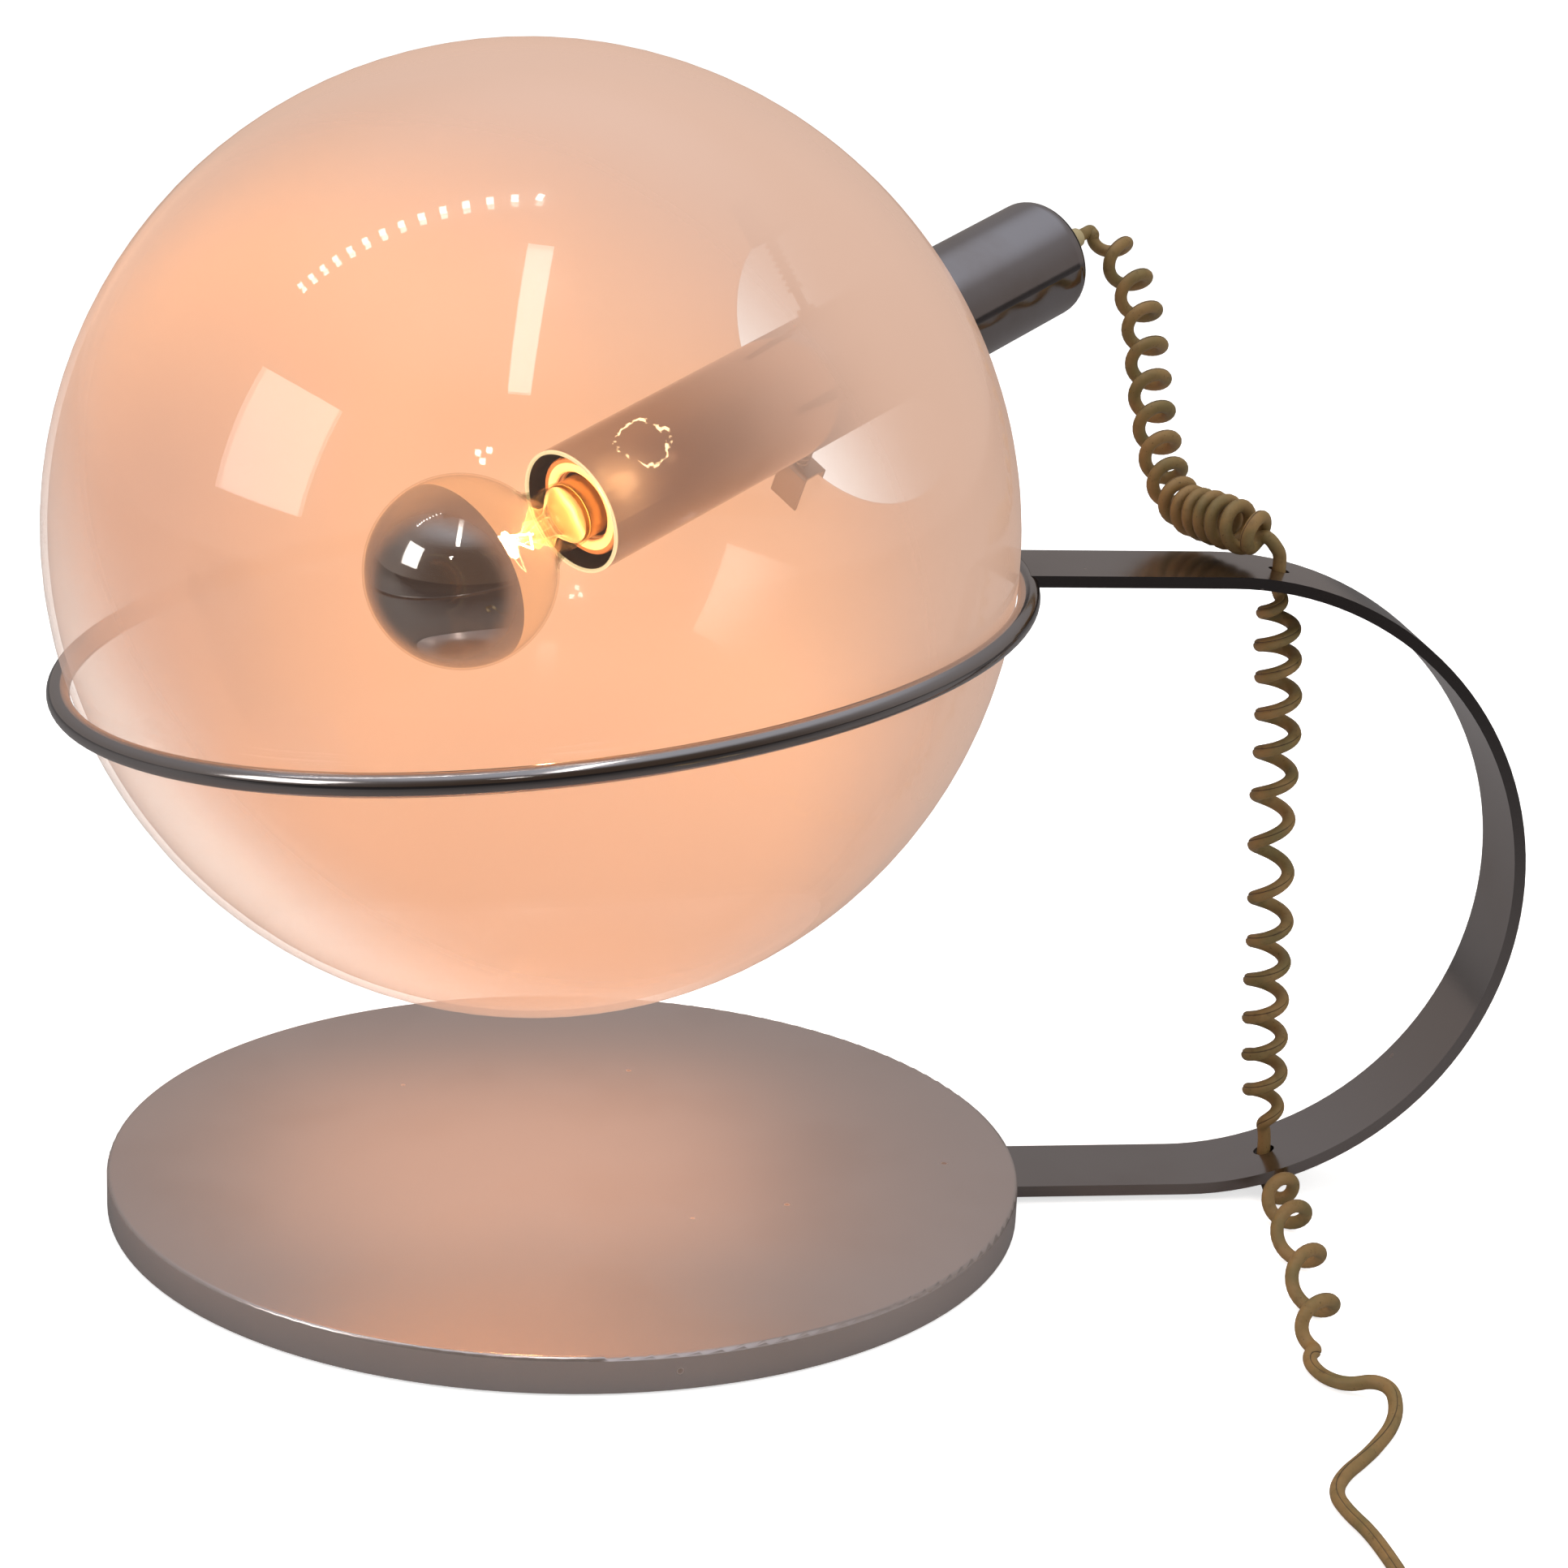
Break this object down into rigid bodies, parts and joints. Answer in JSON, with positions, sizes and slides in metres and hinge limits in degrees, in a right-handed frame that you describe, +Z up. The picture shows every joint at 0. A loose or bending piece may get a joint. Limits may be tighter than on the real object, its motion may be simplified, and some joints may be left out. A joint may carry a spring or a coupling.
{
  "type": "glass globe table lamp",
  "caption": "Table lamp with a large blown globe lying in a tilted steel ring, a flat strap stand on a round base, a clipped-in tube light and a curly cord.",
  "frame": {"origin": "centre of the round base on the table", "axes": "+Z up, +X from the base's centre towards the strap, -Y towards the viewer of the picture"},
  "size_m": [0.6312, 0.7456, 0.4951],
  "materials": {
    "chrome": "polished",
    "cast_iron": "as cast",
    "felt": "felt",
    "steel": "satin",
    "clip": "satin",
    "globe_shell": "clear, faintly milky",
    "clear_glass": "clear",
    "mirror": "silvered",
    "brass": "satin",
    "holder": "glazed",
    "black_plastic": "matte",
    "filament": "glowing",
    "cord": "aged, satin",
    "switch": "satin"
  },
  "bodies": {
    "stand": {"base_cover": "chrome", "base_weight": "cast_iron", "base_felt": "felt", "strap": "chrome", "strap_screws": "steel", "globe_ring": "chrome", "cord_upper": "cord", "cord_middle": "cord", "cord_table": "cord", "cord_tail": "cord", "cord_hank": "cord", "switch_base": "switch", "switch_cover": "switch", "plug_sleeve": "switch", "plug_body": "switch", "plug_pins": "brass"},
    "globe": {"globe": "globe_shell"},
    "light_unit": {"lamp_tube": "chrome", "cord_gland": "black_plastic", "inner_lead": "cord", "holder_body": "holder", "holder_screw_shell": "brass", "holder_contact": "brass", "holder_plate": "steel", "holder_nipple": "steel", "holder_nuts": "steel", "clip_pin_1": "steel", "clip_pin_2": "steel", "clip_pin_3": "steel", "clip_spring_1": "steel", "clip_spring_2": "steel", "clip_spring_3": "steel"},
    "bulb": {"bulb_glass": "clear_glass", "bulb_mirror": "mirror", "bulb_cap": "brass", "bulb_insulator": "black_plastic", "bulb_button": "brass", "bulb_stem": "clear_glass", "bulb_filament": "filament"},
    "switch_key": {"switch_rocker": "switch"},
    "clip_1": {"clip_hook_1": "clip"},
    "clip_2": {"clip_hook_2": "clip"},
    "clip_3": {"clip_hook_3": "clip"}
  },
  "joints": [
    {"name": "globe_tilt", "type": "hinge", "parent": "stand", "child": "globe", "pos_m": [-0.01922, 0, 0.29491], "axis": [0.606, -0.7955, 0], "range_deg": [0, 75], "deforming": ["cord_upper"]},
    {"name": "light_turn", "type": "hinge", "parent": "globe", "child": "light_unit", "pos_m": [-0.01922, 0, 0.29491], "axis": [0.7654, 0.5831, 0.2723], "range_deg": [-5, 40]},
    {"name": "bulb_screw", "type": "hinge", "parent": "light_unit", "child": "bulb", "pos_m": [-0.01922, 0, 0.29491], "axis": [0.7654, 0.5831, 0.2723], "continuous": true},
    {"name": "clip_slide_1", "type": "slide", "parent": "light_unit", "child": "clip_1", "axis": [0.6132, -0.7892, -0.0336], "range_m": [-0.014, 0], "stiffness_N_per_m": 600, "springref_m": 0.01, "deforming": ["clip_spring_1"]},
    {"name": "clip_slide_2", "type": "slide", "parent": "light_unit", "child": "clip_2", "axis": [-0.1374, 0.5615, -0.816], "range_m": [-0.014, 0], "stiffness_N_per_m": 600, "springref_m": 0.01, "deforming": ["clip_spring_2"]},
    {"name": "clip_slide_3", "type": "slide", "parent": "light_unit", "child": "clip_3", "axis": [-0.4757, 0.2278, 0.8496], "range_m": [-0.014, 0], "stiffness_N_per_m": 600, "springref_m": 0.01, "deforming": ["clip_spring_3"]},
    {"name": "switch_rock", "type": "hinge", "parent": "stand", "child": "switch_key", "pos_m": [0.271, -0.421, 0.0125], "axis": [1, 0, 0], "range_deg": [-16, 0]}
  ]
}
